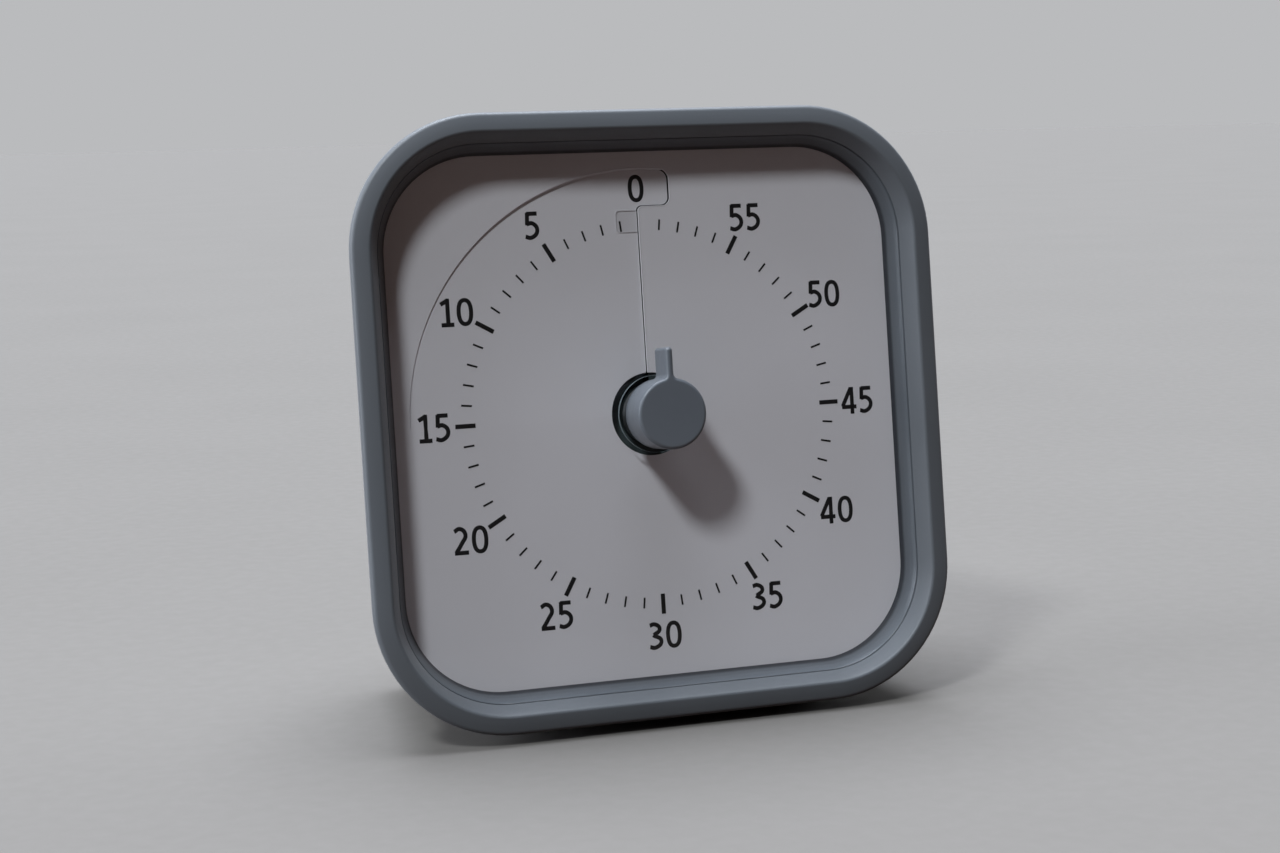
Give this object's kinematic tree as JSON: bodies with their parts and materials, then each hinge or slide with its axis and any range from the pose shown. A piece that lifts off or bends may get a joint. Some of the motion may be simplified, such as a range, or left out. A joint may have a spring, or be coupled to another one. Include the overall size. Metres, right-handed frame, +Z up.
{
  "type": "visual countdown timer",
  "caption": "Square tabletop timer in a soft sleeve: a centre knob winds a coloured disk out over a minute dial, and a battery movement winds it back.",
  "frame": {"origin": "centre of the flat base that the timer stands on", "axes": "+Z up, the dial faces -Y and leans back 7 degrees, +X to the right of someone facing the dial"},
  "size_m": [0.089, 0.0499, 0.0904],
  "materials": {
    "sleeve_silicone": "matte moulded silicone rubber",
    "bezel_abs": "satin to glossy moulded ABS",
    "case_abs": "fine spark-textured ABS",
    "lens_acrylic": "clear acrylic",
    "spacer_abs": "satin moulded ABS",
    "dial_sheet": "matt printed polypropylene sheet",
    "disk_sheet": "matt coloured PVC film",
    "tab_film": "clear film",
    "knob_abs": "satin moulded ABS",
    "hub_pom": "moulded acetal",
    "steel": "turned steel",
    "spring_steel": "bright spring steel",
    "zinc_screw": "zinc-plated steel",
    "brass": "turned brass",
    "chassis_abs": "black moulded ABS",
    "movement_abs": "black moulded ABS",
    "wheel_pom": "natural acetal",
    "magnet": "sintered magnet",
    "soft_iron": "stamped soft iron",
    "bobbin_nylon": "moulded nylon",
    "copper_wire": "enamelled copper wire",
    "board_fr4": "green solder-masked glass epoxy",
    "chip_epoxy": "black moulded epoxy",
    "nickel": "nickel plate",
    "capacitor_sleeve": "shrunk vinyl sleeve",
    "battery_wrap": "plain printed shrink wrap",
    "piezo_ceramic": "silvered ceramic",
    "switch_nylon": "black nylon"
  },
  "bodies": {
    "case": {"silicone_cover": "sleeve_silicone", "bezel": "bezel_abs", "spacer_ring": "spacer_abs", "lens": "lens_acrylic", "front_case": "case_abs", "back_case": "case_abs", "dial_face": "dial_sheet", "chassis_plate": "chassis_abs", "movement_front_case": "movement_abs", "movement_rear_case": "movement_abs", "shaft_bush": "brass", "stator": "soft_iron", "coil_core": "soft_iron", "coil_bobbin": "bobbin_nylon", "coil_winding": "copper_wire", "circuit_board": "board_fr4", "control_chip": "chip_epoxy", "quartz_crystal": "nickel", "capacitor": "capacitor_sleeve", "aa_battery": "battery_wrap", "positive_contact": "nickel", "negative_contact": "nickel", "battery_spring": "spring_steel", "buzzer_disc": "brass", "buzzer_ceramic": "piezo_ceramic", "switch_body": "switch_nylon", "case_screws": "zinc_screw", "chassis_screws": "zinc_screw", "movement_screws": "zinc_screw", "board_screws": "zinc_screw"},
    "knob": {"knob": "knob_abs", "knob_shaft": "steel", "shaft_clip": "spring_steel", "clutch_spring": "spring_steel"},
    "disk": {"disk_film": "disk_sheet", "disk_tab": "tab_film", "disk_hub": "hub_pom"},
    "battery_door": {"battery_door": "case_abs"},
    "alert_switch": {"alert_switch": "switch_nylon"},
    "centre_wheel": {"centre_wheel": "wheel_pom"},
    "third_wheel": {"third_wheel": "wheel_pom"},
    "intermediate_wheel": {"intermediate_wheel": "wheel_pom"},
    "rotor": {"rotor": "magnet"}
  },
  "joints": [
    {"name": "knob_turn", "type": "hinge", "parent": "case", "child": "knob", "pos_m": [0, -0.0119, 0.04544], "axis": [0, -0.9925, 0.1219], "range_deg": [0, 360]},
    {"name": "disk_rise", "type": "slide", "parent": "knob", "child": "disk", "axis": [0, -0.9925, 0.1219], "range_m": [0, 0.00189]},
    {"name": "battery_door_hinge", "type": "hinge", "parent": "case", "child": "battery_door", "pos_m": [0, 0.01804, 0.02016], "axis": [-1, 0, 0], "range_deg": [0, 75]},
    {"name": "alert_switch_slide", "type": "slide", "parent": "case", "child": "alert_switch", "axis": [1, 0, 0], "range_m": [0, 0.003]},
    {"name": "intermediate_wheel_spin", "type": "hinge", "parent": "case", "child": "intermediate_wheel", "pos_m": [0.00106, -0.00015, 0.05826], "axis": [0, -0.9925, 0.1219], "continuous": true},
    {"name": "third_wheel_spin", "type": "hinge", "parent": "case", "child": "third_wheel", "pos_m": [-0.00721, -0.001, 0.05137], "axis": [0, -0.9925, 0.1219], "continuous": true},
    {"name": "centre_wheel_spin", "type": "hinge", "parent": "case", "child": "centre_wheel", "pos_m": [0, -0.00188, 0.04421], "axis": [0, -0.9925, 0.1219], "continuous": true},
    {"name": "rotor_spin", "type": "hinge", "parent": "case", "child": "rotor", "pos_m": [0.01065, -0.00058, 0.0548], "axis": [0, -0.9925, 0.1219], "continuous": true}
  ],
  "couplings": [
    {"joint": "disk_rise", "follows": "knob_turn", "m_per_rad": 0.00029921},
    {"joint": "third_wheel_spin", "follows": "intermediate_wheel_spin", "ratio": -0.125},
    {"joint": "centre_wheel_spin", "follows": "intermediate_wheel_spin", "ratio": 0.016667},
    {"joint": "rotor_spin", "follows": "intermediate_wheel_spin", "ratio": -7.5}
  ]
}
